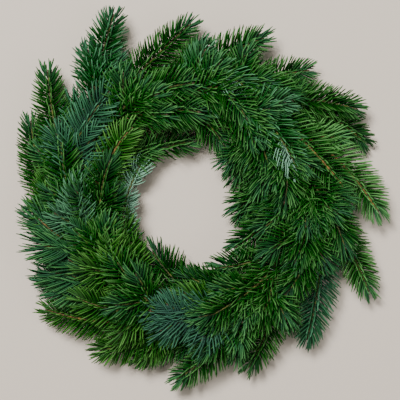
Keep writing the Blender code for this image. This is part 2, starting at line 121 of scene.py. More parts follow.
# Below the twigs at the ring's sides, where the straw would show
HANGING_ROWS = (
    (-44, 50, 0.85, 6.5 * MM),
    (-66, 58, 0.8, 6.5 * MM),
)
# Above a spray's twig: a few short needles that lie along it, or more that stand up
LOW_ROWS = ((68, 30, 0.55, 7.0 * MM),)
BUSHY_ROWS = (
    (46, 42, 0.8, 5.5 * MM),
    (64, 52, 0.88, 15.0 * MM),
)
# On a parted spray: short needles that break the line of its twig, and the share of the twig where it parts
SHORT_ROWS = ((62, 26, 0.34, 7.0 * MM),)
PARTED_FROM = 0.3
# How far single needles stray from their row
ROW_RISE = 6
ROW_SWEEP = 4
ROW_STEP = (0.9, 1.1)
ROW_LENGTH = (0.86, 1.03)
# Towards the tip the needles shorten, close round the bud and keep their bloom
TIP_ZONES = {"outer": 56 * MM, "inner": 28 * MM, "top": 28 * MM}
TIP_LENGTHS = {"outer": 0.72, "inner": 0.78, "top": 0.78}
TIP_SWEEP = 26
TIP_WHORL = 7 * MM
WHORL_SWEEPS = (0.15, 1)
TIP_CLOSES = 26 * MM
# A needle that would touch the straw or the table, or leave the solid's box, is a shorter one
SHORTER = (1, 0.92, 0.84, 0.76, 0.68, 0.6, 0.52)
STRAW_CLEAR = 0.6 * MM
TABLE_CLEAR = 0.8 * MM
# Needles stand closer towards the tip, and further apart on the lower stem, which the solid leaves bare
TIP_SPACING = 0.72
LOWER_SPACING = 1.3
# A needle's place on the scale of its colours, and how much of the bloom it has. Needles that rise above the
# twig get painted light and hanging ones painted shade, as if lit from above
MIDDLE_TONE = 0.42
TONE_BY_NEEDLE = 0.2
PAINTED_LIGHT_BY_RISE = 0.14
YOUNG = 0.15
BLOOM_SHARES = (0.6, 1)

# Side shoots by row: share of the twig where each forks off, turn off its direction, length
SIDE_SHOOTS = {
    "outer": ((0.3, 42, 34 * MM), (0.3, -42, 34 * MM)),
    "inner": ((0.3, 42, 34 * MM), (0.3, -42, 34 * MM)),
    "top": ((0.4, 40, 32 * MM), (0.4, -40, 32 * MM)),
}
# More of them on single sprays
EXTRA_SHOOTS = {
    "outer_spray_01": ((0.52, 30, 38 * MM), (0.56, -30, 38 * MM)),
    "outer_spray_15": ((0.6, -34, 26 * MM), (0.5, 40, 32 * MM)),
    "outer_spray_16": (
        (0.14, -60, 40 * MM),
        (0.22, -52, 44 * MM),
        (0.5, 36, 30 * MM),
        (0.5, -38, 36 * MM),
    ),
    "inner_spray_06": ((0.5, 58, 28 * MM),),
    "inner_spray_07": ((0.6, 40, 32 * MM),),
    "inner_spray_09": ((0.45, -50, 38 * MM),),
    "top_spray_10": ((0.75, 52, 46 * MM),),
    "top_spray_14": ((0.7, 34, 26 * MM), (0.7, -34, 26 * MM)),
}
# Sprays that fork on one side only: 1 is their right side
ONE_SIDED = {"top_spray_07": 1, "inner_spray_02": -1}
# A shoot tries these lengths in turn, and forks off a little away from its place and turn
SHOOT_LENGTHS = (1, 0.75, 0.5)
SHOOT_STEP = 6 * MM
FEWEST_STEPS = 3
FORK_DRIFT = 0.04
FORK_TURN = 6
SHOOT_STRAIGHTENS = 0.35
SHOOT_BARE = 5 * MM
SHOOT_THINNER = 0.75
SHOOT_CLEAR = 5 * MM

# Twig and bud
TWIG_SIDES = 8
TWIG_STEP = 2.0 * MM
TWIG_THICK = 1.15 * MM
TWIG_THIN = 0.75 * MM
TWIG_KNOBS = 0.12
# An orange-brown twig is this much thicker
STOUT = 1.3
BUD_LENGTH = 4.0 * MM
BUD_WIDTH = 2.2 * MM
BUD_SIDES = 7
BUD_FORWARD = 0.3 * MM
# The two smaller buds beside it: turn round the twig, its spread, lean and size
SIDE_BUDS = (20, 160)
SIDE_BUD_TURN = 15
SIDE_BUD_LEAN = 48
SIDE_BUD_SIZE = 0.7

# Straw: each rye stalk about 2.6 mm wide, seen for about 60 mm before another covers it
STALK_WIDTH = 2.6 * MM
STALK_SEEN = 60 * MM
STALK_RELIEF = 0.55 * MM
STALK_FLAT = 0.9
STALK_WANDER = 0.25
STALK_WAVES = 7
# The wire's bite fades out over a third of the way to the next turn
BITE_FADES = 3
LINES_PER_TURN = 24
STRAW_LINES = WIRE_TURNS * LINES_PER_TURN
STRAW_SIDES = 88

# The photograph: 400 pixels, 1.031 mm each at the height of the upper sprays
PIXEL = 1.031 * MM
PHOTO_SIZE = 400
PHOTO_CENTRE = (203, 199)
SEEN_HEIGHT = 45 * MM
CAMERA_HEIGHT = 1.35

# Painted shade: how much darker a needle is at its edges, in its groove and from tip to foot, on the scale of
# its colours, which leaves its middle light like a painted sheen
PAINTED_EDGE_SHADE = 0.22
PAINTED_GROOVE_SHADE = 0.12
PAINTED_FOOT_SHADE = 0.6
# Where these and, on the underside, the keel and the wax bands lie: 0 is the needle's middle, 0.5 its edge
EDGE_FROM = 0.28
GROOVE = (0.05, 0.1)
KEEL = 0.07
WAX_ENDS = (0.42, 0.32)
WAX_COVERS = 0.9

# Lights: name, place, size and power in watts
LIGHTS = (
    ("window_light", (-1.0, 1.5, 3.4), 1.2, 236),
    ("fill_light", (1.2, -0.6, 1.6), 1.6, 9),
)
ROOM_LIGHT = 0.14
FLOOR_REACH = 3

SEED = 7

# Sprays that lie flat, with their needles parted so that the twig shows
PARTED = {
    "outer_spray_04",
    "outer_spray_07",
    "outer_spray_14",
    "outer_spray_16",
    "inner_spray_01",
    "inner_spray_02",
    "inner_spray_10",
    "top_spray_01",
    "top_spray_07",
    "top_spray_14",
    "top_spray_15",
}
# Sprays whose needles stand up all round
BUSHY = {
    "outer_spray_05",
    "top_spray_08",
    "top_spray_09",
    "top_spray_11",
    "top_spray_12",
    "top_spray_18",
    "top_spray_22",
    "top_spray_23",
}
# Sprays on an orange-brown twig
ORANGE_TWIGS = {
    "outer_spray_04",
    "outer_spray_07",
    "outer_spray_14",
    "outer_spray_16",
    "inner_spray_02",
    "top_spray_07",
}
# Sprays that keep their bloom from end to end, and how much
BLOOMED = {
    "outer_spray_09": 0.12,
    "outer_spray_16": 0.14,
    "inner_spray_01": 0.55,
    "top_spray_01": 0.2,
    "top_spray_14": 0.28,
    "top_spray_18": 0.24,
}
# Sprays that reach into the hole
REACHING = {"inner_spray_06", "inner_spray_07", "inner_spray_13"}
# Sprays with longer needles
LONG_NEEDLES = {
    "outer_spray_01": 1.1,
    "outer_spray_03": 1.1,
    "outer_spray_07": 1.15,
    "outer_spray_13": 1.12,
    "outer_spray_15": 1.12,
    "outer_spray_16": 1.32,
    "inner_spray_06": 1.12,
    "inner_spray_07": 1.25,
    "inner_spray_13": 1.2,
    "top_spray_01": 1.1,
    "top_spray_14": 1.15,
    "top_spray_16": 1.1,
    "top_spray_17": 1.15,
}
# Sprays whose needles lean forward and stay long up to the tip: share of the usual lean
SLEEK = {"outer_spray_16": 0.62}
# Sprays lighter or darker than their kind: partly their own tone, partly painted light and shade for how
# brightly each lies in the light
SHADES = {
    "outer_spray_02": -0.06,
    "outer_spray_05": 0.05,
    "outer_spray_07": 0.3,
    "outer_spray_08": 0.14,
    "outer_spray_10": 0.08,
    "outer_spray_11": 0.08,
    "outer_spray_17": -0.04,
    "inner_spray_01": 0.32,
    "inner_spray_02": 0.14,
    "inner_spray_03": -0.05,
    "inner_spray_04": 0.18,
    "inner_spray_09": -0.05,
    "inner_spray_11": -0.08,
    "inner_spray_13": -0.1,
    "top_spray_07": 0.08,
    "top_spray_09": -0.05,
    "top_spray_10": -0.08,
    "top_spray_11": -0.06,
    "top_spray_14": -0.08,
    "top_spray_18": -0.06,
}
# Sprays turned so that the waxy underside shows: whether right and left of the twig, and from where on it
UNDERSIDE_SHOWS = {
    "inner_spray_01": (True, True, 0.35),
    "top_spray_03": (True, False, 0.66),
    "top_spray_06": (True, False, 0.76),
}
UPPER_SIDE = (False, False, 1.0)


def linear(hex_colour):
    """An sRGB hex colour as linear red, green, blue and full alpha."""
    shares = [int(hex_colour[place : place + 2], 16) / 255 for place in (1, 3, 5)]
    return (*(s / 12.92 if s <= 0.04045 else ((s + 0.055) / 1.055) ** 2.4 for s in shares), 1)


def add_node(tree, kind, settings=(), **sockets):
    """A node with these settings. A socket is given a value, or another node's output to link from."""
    node = tree.nodes.new(kind)
    for name, value in dict(settings).items():
        setattr(node, name, value)
    for name, value in sockets.items():
        socket = node.inputs[int(name[1:])] if name[1:].isdigit() else node.inputs[name.replace("_", " ")]
        if isinstance(value, bpy.types.NodeSocket):
            tree.links.new(value, socket)
        else:
            socket.default_value = value
    return node


def new_material(name):
    """An empty material's node tree and its shader."""
    material = bpy.data.materials.new(name)
    material.use_nodes = True
    return material, material.node_tree, material.node_tree.nodes["Principled BSDF"]


def colour_ramp(tree, factor, stops):
    """The colour at this factor between stops, each a position and a hex colour."""
    ramp = add_node(tree, "ShaderNodeValToRGB", Fac=factor)
    elements = ramp.color_ramp.elements
    while len(elements) < len(stops):
        elements.new(0.5)
    for element, (position, hex_colour) in zip(elements, stops):
        element.position = position
        element.color = linear(hex_colour)
    return ramp.outputs["Color"]


def fir_needle(name, dark, middle, light, bloom, wax):
    """Waxed leaf: satin, with painted shade at its foot, edges and groove, bloomed when young, two wax bands
    below.
    """
    material, tree, shader = new_material(name)
    tone = add_node(tree, "ShaderNodeAttribute", {"attribute_name": "tone"}).outputs["Fac"]
    young = add_node(tree, "ShaderNodeAttribute", {"attribute_name": "young"}).outputs["Fac"]
    surface = add_node(tree, "ShaderNodeUVMap", {"uv_map": "blade"}).outputs["UV"]
    split = add_node(tree, "ShaderNodeSeparateXYZ", Vector=surface)
    along, across = split.outputs["X"], split.outputs["Y"]

    def combined(operation, first, second, third=0.0):
        node = add_node(tree, "ShaderNodeMath", {"operation": operation}, _0=first, _1=second, _2=third)
        return node.outputs[0]

    def eased(value, near, far, at_near, at_far):
        node = add_node(tree, "ShaderNodeMapRange", _0=value, _1=near, _2=far, _3=at_near, _4=at_far)
        return node.outputs[0]

    # The upper side runs from 0 to 1 across and the underside on to 2, so 0.5 is the groove and 1.5 the keel
    off_middle = combined("ABSOLUTE", combined("SUBTRACT", combined("FRACT", across, 0.0), 0.5), 0.0)
    # Painted shade at the edges, in the groove and towards the foot by the twig; lighter towards the tip
    edge = eased(off_middle, EDGE_FROM, 0.5, 0.0, PAINTED_EDGE_SHADE)
    groove = eased(off_middle, *GROOVE, PAINTED_GROOVE_SHADE, 0.0)
    foot_shade = combined("MULTIPLY_ADD", along, PAINTED_FOOT_SHADE, -PAINTED_FOOT_SHADE / 2)
    lightness = combined("SUBTRACT", combined("SUBTRACT", combined("ADD", foot_shade, tone), edge), groove)
    # The scale's dark end is painted shade and its greyer light end a painted sheen
    green = colour_ramp(tree, lightness, ((0.0, dark), (0.5, middle), (1.0, light)))
    bloomed = add_node(tree, "ShaderNodeMix", {"data_type": "RGBA"}, _0=young, _6=green, _7=linear(bloom))
    underside = combined("GREATER_THAN", across, 1.0)
    band = eased(off_middle, *WAX_ENDS, 0.0, WAX_COVERS)
    off_keel = combined("GREATER_THAN", off_middle, KEEL)
    waxed = add_node(
        tree,
        "ShaderNodeMix",
        {"data_type": "RGBA"},
        _0=combined("MULTIPLY", combined("MULTIPLY", band, underside), off_keel),
        _6=bloomed.outputs[2],
        _7=linear(wax),
    )
    tree.links.new(waxed.outputs[2], shader.inputs["Base Color"])
    shader.inputs["Roughness"].default_value = 0.36
    shader.inputs["IOR"].default_value = 1.45
    shader.inputs["Specular IOR Level"].default_value = 0.17
    return material


def fir_bark(name, dark, light):
    """Young bark: olive to orange-brown, finely pitted where needles stood."""
    material, tree, shader = new_material(name)
    place = add_node(tree, "ShaderNodeTexCoord").outputs["Object"]
    # Scars stand about 1.4 mm apart
    pits = add_node(tree, "ShaderNodeTexVoronoi", Vector=place, Scale=1 / (1.4 * MM)).outputs["Distance"]
    blotches = add_node(tree, "ShaderNodeTexNoise", Vector=place, Scale=1 / (3 * MM), Detail=3.0)
    tree.links.new(
        colour_ramp(tree, blotches.outputs["Fac"], ((0.4, dark), (0.62, light))), shader.inputs["Base Color"]
    )
    bump = add_node(tree, "ShaderNodeBump", Strength=0.6, Distance=0.25 * MM, Height=pits)
    tree.links.new(bump.outputs["Normal"], shader.inputs["Normal"])
    shader.inputs["Roughness"].default_value = 0.75
    return material


def bud_scales():
    """Resinous bud: brown overlapping scales with a slight shine."""
    material, tree, shader = new_material("resinous bud scales")
    place = add_node(tree, "ShaderNodeTexCoord").outputs["Object"]
    scales = add_node(tree, "ShaderNodeTexVoronoi", Vector=place, Scale=1 / (0.9 * MM)).outputs["Distance"]
    tree.links.new(
        colour_ramp(tree, scales, ((0.0, "#66502A"), (0.6, "#33260F"))), shader.inputs["Base Color"]
    )
    bump = add_node(tree, "ShaderNodeBump", Strength=0.5, Distance=0.2 * MM, Height=scales)
    tree.links.new(bump.outputs["Normal"], shader.inputs["Normal"])
    shader.inputs["Roughness"].default_value = 0.5
    return material


def rye_straw():
    """Dry rye stalks laid along the ring: dull gold, each stalk its own shade, with fine fibres."""
    material, tree, shader = new_material("bound rye straw")
    surface = add_node(tree, "ShaderNodeUVMap", {"uv_map": "stalks"}).outputs["UV"]
    # One unit across is one stalk, and one unit along is as far as it is seen
    cells = add_node(tree, "ShaderNodeTexVoronoi", {"voronoi_dimensions": "2D"}, Vector=surface, Scale=1.0)
    shade = add_node(tree, "ShaderNodeSeparateColor", _0=cells.outputs["Color"]).outputs[0]
    tree.links.new(
        colour_ramp(tree, shade, ((0.0, "#745628"), (0.45, "#A28044"), (1.0, "#C0A46C"))),
        shader.inputs["Base Color"],
    )
    fibre_place = add_node(tree, "ShaderNodeMapping", Vector=surface, Scale=(1.5, 9.0, 1.0))
    fibres = add_node(tree, "ShaderNodeTexNoise", Vector=fibre_place.outputs[0], Scale=1.0, Detail=2.0)
    bump = add_node(
        tree, "ShaderNodeBump", Strength=0.5, Distance=0.2 * MM, Height=fibres.outputs["Fac"]
    )
    tree.links.new(bump.outputs["Normal"], shader.inputs["Normal"])
    shader.inputs["Roughness"].default_value = 0.45
    return material


def lacquered_wire():
    """Florist's binding wire: soft iron dipped in dark green lacquer, with small thin spots."""
    material, tree, shader = new_material("lacquered binding wire")
    place = add_node(tree, "ShaderNodeTexCoord").outputs["Object"]
    thin = add_node(tree, "ShaderNodeTexNoise", Vector=place, Scale=1 / (4 * MM), Detail=2.0).outputs["Fac"]
    tree.links.new(
        colour_ramp(tree, thin, ((0.4, "#16331F"), (0.7, "#2E4A33"))), shader.inputs["Base Color"]
    )
    shader.inputs["Roughness"].default_value = 0.32
    shader.inputs["Coat Weight"].default_value = 0.4
    return material


def pale_board():
    """The plain pale floor."""
    material, _, shader = new_material("pale floor")
    shader.inputs["Base Color"].default_value = linear("#DACDBD")
    shader.inputs["Roughness"].default_value = 0.8
    return material


# Each needle's colours: dark end, middle, light end, bloom and wax. The dark end carries painted shade, and
# the light end, greyer than the needle's own green, a painted sheen
NEEDLES = {
    "green": fir_needle("fir needle, mid green", "#001C00", "#084C01", "#66A456", "#6EAC92", "#7CA68E"),
    "dark": fir_needle("fir needle, deep green", "#001800", "#064400", "#569248", "#5E9C7A", "#86AE92"),
    "blue": fir_needle("fir needle, blue green", "#001C02", "#0A4C10", "#5E9E72", "#6A9C90", "#8CB4A2"),
    "yellow": fir_needle("fir needle, yellow green", "#011F00", "#165605", "#70AA50", "#7EB270", "#9ABC88"),
    "pale": fir_needle("fir needle, waxy green", "#001F02", "#145618", "#6CAC7C", "#88BCA0", "#8ABA9E"),
}
OLIVE_BARK = fir_bark("young fir bark, olive", "#242806", "#5C601A")
ORANGE_BARK = fir_bark("young fir bark, orange brown", "#30280A", "#866628")
BUD = bud_scales()


def unit(vector):
    """The vector at length 1."""
    return vector / np.linalg.norm(vector)


def solid_sections(name):
    """Middles of a tube's sections in order, and (root, tip) of each needle on it, read from its solid."""
    bm = bmesh.new()
    bm.from_mesh(frame["nodes"][name].data)
    bmesh.ops.remove_doubles(bm, verts=bm.verts, dist=WELD)
    bm.verts.ensure_lookup_table()
    section = {}
    sections = []
    for vert in bm.verts:
        if vert.index in section:
            continue
        members = [vert]
        for member in members:
            for edge in member.link_edges:
                other = edge.other_vert(member)
                if edge.calc_length() < SECTION_EDGE and other not in members:
                    members.append(other)
        if len(members) > 1:
            section.update({member.index: len(sections) for member in members})
            sections.append(np.mean([member.co for member in members], axis=0))
    beside = [set() for _ in sections]
    needles = []
    bud_section = None
    for vert in bm.verts:
        around = [edge.other_vert(vert) for edge in vert.link_edges]
        if vert.index in section:
            for other in around:
                if other.index in section and section[other.index] != section[vert.index]:
                    beside[section[vert.index]].add(section[other.index])
        elif len({section[other.index] for other in around}) == 1:
            bud_section = section[around[0].index]
        else:
            needles.append((np.mean([other.co for other in around], axis=0), np.array(vert.co)))
    bm.free()
    order = [0 if bud_section is None else bud_section]
    while len(order) < len(sections):
        order.append(next(iter(beside[order[-1]] - set(order[-2:]))))
    order.reverse()
    return np.array([sections[number] for number in order]), needles


def resampled(points, spacing, closed=False):
    """Points evenly spaced on a smooth curve through the given ones."""
    count = len(points)
    fine = []
    for number in range(count if closed else count - 1):
        if closed:
            before, start, end, after = (points[(number + step) % count] for step in (-1, 0, 1, 2))
        else:
            before, after = points[max(number - 1, 0)], points[min(number + 2, count - 1)]
            start, end = points[number], points[number + 1]
        for t in np.linspace(0, 1, CURVE_STEPS, endpoint=False):
            fine.append(
                0.5
                * (
                    2 * start
                    + (end - before) * t
                    + (2 * before - 5 * start + 4 * end - after) * t**2
                    + (3 * start - before - 3 * end + after) * t**3
                )
            )
    fine = np.array([*fine, points[0] if closed else points[-1]])
    along = np.concatenate([[0], np.cumsum(np.linalg.norm(np.diff(fine, axis=0), axis=1))])
    stations = np.linspace(0, along[-1], round(along[-1] / spacing) + 1)
    if closed:
        stations = stations[:-1]
    return np.stack([np.interp(stations, along, fine[:, axis]) for axis in range(3)], axis=1)


class Twig:
    """A twig's route, and directions along it."""

    def __init__(self, sections, thickness=1.0):
        self.points = resampled(sections, TWIG_STEP)
        self.thickness = thickness
        steps = np.linalg.norm(np.diff(self.points, axis=0), axis=1)
        self.along = np.concatenate([[0], np.cumsum(steps)])

    def station(self, spot):
        """How far along the twig its nearest point to the spot is."""
        return self.along[np.linalg.norm(self.points - spot, axis=1).argmin()]

    def point(self, station):
        """The twig's point that far along it."""
        return np.array([np.interp(station, self.along, self.points[:, axis]) for axis in range(3)])

    def axes(self, station):
        """The twig's direction there, its side and its upper side."""
        forward = unit(self.point(station + TWIG_STEP) - self.point(station - TWIG_STEP))
        side = unit(np.cross(forward, (0, 0, 1)))
        return forward, side, np.cross(side, forward)


def needle_way(axes, azimuth, sweep):
    """A direction `sweep` degrees off the twig's own, `azimuth` degrees round it from its side."""
    forward, side, up = axes
    turn, lean = math.radians(azimuth), math.radians(sweep)
    outward = math.cos(turn) * side + math.sin(turn) * up
    return math.cos(lean) * forward + math.sin(lean) * outward


def has_room(spot, margin=0.0, hole_share=1.0):
    """Whether a place is off the straw and the table, inside the solid's box and out of the clear hole."""
    from_axis = math.hypot(*(spot - RING_MIDDLE)[:2]) - RING_RADIUS
    off_straw = math.hypot(from_axis, spot[2] - RING_HEIGHT) > STRAW_RADIUS + STRAW_CLEAR + margin
    sides = zip(CAD_BOX[0], spot, CAD_BOX[1])
    in_box = all(low + margin < place < high - margin for low, place, high in sides)
    in_hole = math.hypot(*(spot[:2] - HOLE_MIDDLE) / (HOLE_REACH + margin)) < hole_share
    return off_straw and in_box and spot[2] > TABLE_CLEAR + margin and not in_hole


def side_shoots(twig, forks, draw):
    """Shoots that fork off the twig where there is room, to its right where the turn is positive."""
    shoots = []
    for share, turn, length in forks:
        station = twig.along[-1] * (share + draw.uniform(-FORK_DRIFT, FORK_DRIFT))
        axes = twig.axes(station)
        bend = abs(turn) + draw.uniform(-FORK_TURN, FORK_TURN)
        for reach in SHOOT_LENGTHS:
            spots = [twig.point(station)]
            steps = max(FEWEST_STEPS, round(length * reach / SHOOT_STEP))
            for step in range(steps):
                way = needle_way(axes, 0 if turn > 0 else 180, bend * (1 - SHOOT_STRAIGHTENS * step / steps))
                spots.append(spots[-1] + way * length * reach / steps)
            if all(has_room(spot, SHOOT_CLEAR) for spot in spots[1:]):
                shoots.append(Twig(np.array(spots), SHOOT_THINNER))
                break
    return shoots


class Blades:
    """The finer needles of one spray, as points with attributes."""

    def __init__(self, name, draw):
        self.draw = draw
        self.row = name.split("_")[0]
        self.bloom = BLOOMED.get(name, 0)
        self.stretch = LONG_NEEDLES.get(name, 1)
        self.spread = SLEEK.get(name, 1)
        self.tip_length = 1 if name in SLEEK else TIP_LENGTHS[self.row]
        self.shade = SHADES.get(name, 0)
        self.hole_shares = REACHING_SHARES if name in REACHING else HOLE_SHARES
        self.underside_shows = UNDERSIDE_SHOWS.get(name, UPPER_SIDE)
        self.feet = []
        self.ways = []
        self.faces = []
        self.lengths = []
        self.tones = []
        self.young = []
        self.shapes = []

    def add(self, twig, station, right, turn, sweep, length, young):
        """A needle on the twig, as long as there is room for it."""
        axes = twig.axes(station)
        way = needle_way(axes, turn if right else 180 - turn, sweep)
        face = axes[2] + FORWARD_FACE * axes[0]
        face = unit(face - (face @ way) * way)
        roll = math.radians(self.draw.uniform(-BLADE_ROLL, BLADE_ROLL))
        face = math.cos(roll) * face + math.sin(roll) * np.cross(way, face)
        foot = twig.point(station) + way * TWIG_THIN / 2
        bow = self.draw.randrange(len(BOWS))
        on_right, on_left, turned_from = self.underside_shows
        flipped = (on_right if right else on_left) and station > turned_from * twig.along[-1]
        hole_share = self.draw.uniform(*self.hole_shares)
        for share in SHORTER:
            reach = way * length * self.stretch * share
            if has_room(foot + reach, 0.0, hole_share) and has_room(foot + reach / 2, 0.0, hole_share):
                self.feet.append(foot)
                self.ways.append(way)
                self.faces.append(-face if flipped else face)
                self.lengths.append(length * self.stretch * share)
                # Painted light: needles rising above the twig are lighter, hanging ones darker
                tone = MIDDLE_TONE + self.shade + PAINTED_LIGHT_BY_RISE * math.sin(math.radians(turn))
                self.tones.append(tone + self.draw.uniform(-TONE_BY_NEEDLE, TONE_BY_NEEDLE))
                self.young.append(max(young, self.bloom * self.draw.uniform(*BLOOM_SHARES)))
                self.shapes.append(bow if right != flipped else bow + len(BOWS))
                break


def needle_rows(blades, twig, rows, start, needled_from, stop=1.0):
    """Rows of blades on both sides of the twig up to this share of it, sparser on its lower stem."""
    draw = blades.draw
    end = twig.along[-1]
    tip_length, tip_zone = blades.tip_length, TIP_ZONES[blades.row]
    for rise, sweep, share, spacing in rows:
        for right in (True, False):
            station = start + draw.uniform(0, spacing)
            while station < stop * end - TWIG_STEP / 2:
                ease = min(1, (end - station) / TIP_CLOSES)
                slimmer = min(1, (end - station) / tip_zone)
                turn = rise + draw.uniform(-ROW_RISE, ROW_RISE)
                spread = sweep * blades.spread
                lean = TIP_SWEEP + (spread - TIP_SWEEP) * ease + draw.uniform(-ROW_SWEEP, ROW_SWEEP)
                if end - station < TIP_WHORL:
                    lean *= draw.uniform(*WHORL_SWEEPS)
                shorter = tip_length + (1 - tip_length) * slimmer
                length = BLADE_LENGTH * share * shorter * draw.uniform(*ROW_LENGTH)
                blades.add(twig, station, right, turn, lean, length, YOUNG * (1 - ease) ** 2)
                gap = TIP_SPACING + (1 - TIP_SPACING) * slimmer if station > needled_from else LOWER_SPACING
                station += spacing * gap * draw.uniform(*ROW_STEP)


def blade_shape(name, rise, aside):
    """One needle 1 long and 1 wide: a slim foot, a flat blade keeled below and a blunt tip."""
    # Along the needle: place, width, thickness
    stations = ((0, 0.4, 0.3), (0.14, 0.78, 0.26), (0.45, 1.0, 0.26), (0.88, 0.72, 0.2), (1.0, 0.25, 0.1))
    # Round the blade: place across, height, and the pattern's place across
    section = ((-0.5, 0.2, 0), (0.5, 0.2, 1), (0, -0.8, 1.5))
    bm = bmesh.new()
    pattern = bm.loops.layers.uv.new("blade")
    rows = []
    for place, width, thickness in stations:
        bow = 4 * place * (1 - place)
        rows.append(
            [
                bm.verts.new((place, width * across + aside * bow, thickness * height + rise * bow))
                for across, height, _ in section
            ]
        )
    count = len(section)
    for (row, next_row), (start, end) in zip(zip(rows, rows[1:]), zip(stations, stations[1:])):
        for corner in range(count):
            following = (corner + 1) % count
            face = bm.faces.new((row[corner], row[following], next_row[following], next_row[corner]))
            near, far = section[corner][2], section[following][2] or 2
            face.smooth = True
            places = ((start[0], near), (start[0], far), (end[0], far), (end[0], near))
            for loop, place in zip(face.loops, places):
                loop[pattern].uv = place
    bm.faces.new(rows[0])
    bm.faces.new(rows[-1])
    bmesh.ops.recalc_face_normals(bm, faces=bm.faces)
    mesh = bpy.data.meshes.new(name)
    bm.to_mesh(mesh)
    bm.free()
    return bpy.data.objects.new(name, mesh)


def bud_shape():
    """An egg-shaped bud 1 long and 1 wide, blunt at its foot and pointed at its tip."""
    outline = ((0.0, 0.3), (0.15, 0.46), (0.4, 0.5), (0.7, 0.36), (0.9, 0.16))
    bm = bmesh.new()
    corners = [math.tau * side / BUD_SIDES for side in range(BUD_SIDES)]
    rows = [
        [bm.verts.new((place, radius * math.cos(corner), radius * math.sin(corner))) for corner in corners]
        for place, radius in outline
    ]
    for row, next_row in zip(rows, rows[1:]):
        for side in range(BUD_SIDES):
            following = (side + 1) % BUD_SIDES
            bm.faces.new((row[side], row[following], next_row[following], next_row[side]))
    point = bm.verts.new((1, 0, 0))
    for side in range(BUD_SIDES):
        bm.faces.new((rows[-1][side], rows[-1][(side + 1) % BUD_SIDES], point))
    bm.faces.new(rows[0])
    for face in bm.faces:
        face.smooth = True
    bmesh.ops.recalc_face_normals(bm, faces=bm.faces)
    mesh = bpy.data.meshes.new("bud_shape")
    bm.to_mesh(mesh)
    bm.free()
    return bpy.data.objects.new("bud_shape", mesh)


# The points of a spray: what each one stands for
TWIG_POINT, BLADE_POINT, BUD_POINT = 0, 1, 2


def spray_tree(blades, bud):
    """Geometry Nodes: bark round the twig's route, a blade on each needle point, a bud on each bud point."""
    tree = bpy.data.node_groups.new("grown spray", "GeometryNodeTree")
    for name, kind in (
        ("Points", "NodeSocketGeometry"),
        ("Twig Sides", "NodeSocketInt"),
        ("Needle", "NodeSocketMaterial"),
        ("Bark", "NodeSocketMaterial"),
        ("Bud", "NodeSocketMaterial"),
    ):
        tree.interface.new_socket(name, in_out="INPUT", socket_type=kind)
    tree.interface.new_socket("Spray", in_out="OUTPUT", socket_type="NodeSocketGeometry")
    given = add_node(tree, "NodeGroupInput").outputs

    def attribute(name, kind):
        node = add_node(tree, "GeometryNodeInputNamedAttribute", {"data_type": kind}, Name=name)
        return node.outputs["Attribute"]

    def points_of(part):
        same = add_node(
            tree,
            "FunctionNodeCompare",
            {"data_type": "INT", "operation": "EQUAL"},
            _2=attribute("part", "INT"),
            _3=part,
        )
        return add_node(
            tree,
            "GeometryNodeSeparateGeometry",
            Geometry=given["Points"],
            Selection=same.outputs["Result"],
        ).outputs["Selection"]

    def placed(points, source, pick):
        toward = add_node(
            tree, "FunctionNodeAlignRotationToVector", {"axis": "X"}, Vector=attribute("way", "FLOAT_VECTOR")
        )
        rolled = add_node(
            tree,
            "FunctionNodeAlignRotationToVector",
            {"axis": "Z", "pivot_axis": "X"},
            Rotation=toward.outputs[0],
            Vector=attribute("face", "FLOAT_VECTOR"),
        )
        sockets = {"Instance_Index": attribute("shape", "INT"), "Pick_Instance": True} if pick else {}
        instances = add_node(
            tree,
            "GeometryNodeInstanceOnPoints",
            Points=points,
            Instance=source,
            Rotation=rolled.outputs[0],
            Scale=attribute("size", "FLOAT_VECTOR"),
            **sockets,
        )
        return add_node(tree, "GeometryNodeRealizeInstances", Geometry=instances.outputs[0]).outputs[0]

    route = add_node(tree, "GeometryNodeMeshToCurve", Mesh=points_of(TWIG_POINT)).outputs[0]
    round_section = add_node(
        tree, "GeometryNodeCurvePrimitiveCircle", Resolution=given["Twig Sides"], Radius=1.0
    )
    bark = add_node(
        tree,
        "GeometryNodeCurveToMesh",
        Curve=route,
        Profile_Curve=round_section.outputs[0],
        Scale=attribute("thickness", "FLOAT"),
        Fill_Caps=True,
    )
    shapes = add_node(
        tree, "GeometryNodeCollectionInfo", Collection=blades, Separate_Children=True, Reset_Children=True
    )
    bud_source = add_node(tree, "GeometryNodeObjectInfo", Object=bud, As_Instance=True)
    covered = [
        (bark.outputs[0], given["Bark"]),
        (placed(points_of(BLADE_POINT), shapes.outputs[0], True), given["Needle"]),
        (placed(points_of(BUD_POINT), bud_source.outputs["Geometry"], False), given["Bud"]),
    ]
    joined = add_node(tree, "GeometryNodeJoinGeometry")
    for geometry, material in covered:
        dressed = add_node(tree, "GeometryNodeSetMaterial", Geometry=geometry, Material=material)
        tree.links.new(dressed.outputs[0], joined.inputs[0])
    whole = add_node(tree, "GeometryNodeRealizeInstances", Geometry=joined.outputs[0])
    tree.links.new(whole.outputs[0], add_node(tree, "NodeGroupOutput").inputs[0])
    return tree


def made_mesh(obj, tree, values):
    """Runs the tree on the object once, with these inputs, and returns the result as a plain mesh object."""
    name = obj.name
    modifier = obj.modifiers.new("grow", "NODES")
    modifier.node_group = tree
    for item in tree.interface.items_tree:
        if item.in_out == "INPUT" and item.name in values:
            modifier[item.identifier] = values[item.name]
    bpy.context.scene.collection.objects.link(obj)
    graph = bpy.context.evaluated_depsgraph_get()
    mesh = bpy.data.meshes.new_from_object(obj.evaluated_get(graph))
    bpy.data.objects.remove(obj)
    for leftover in ("way", "face", "size", "shape", "part", "thickness"):
        if leftover in mesh.attributes:
            mesh.attributes.remove(mesh.attributes[leftover])
    made = bpy.data.objects.new(name, mesh)
    bpy.context.scene.collection.objects.link(made)
    return made


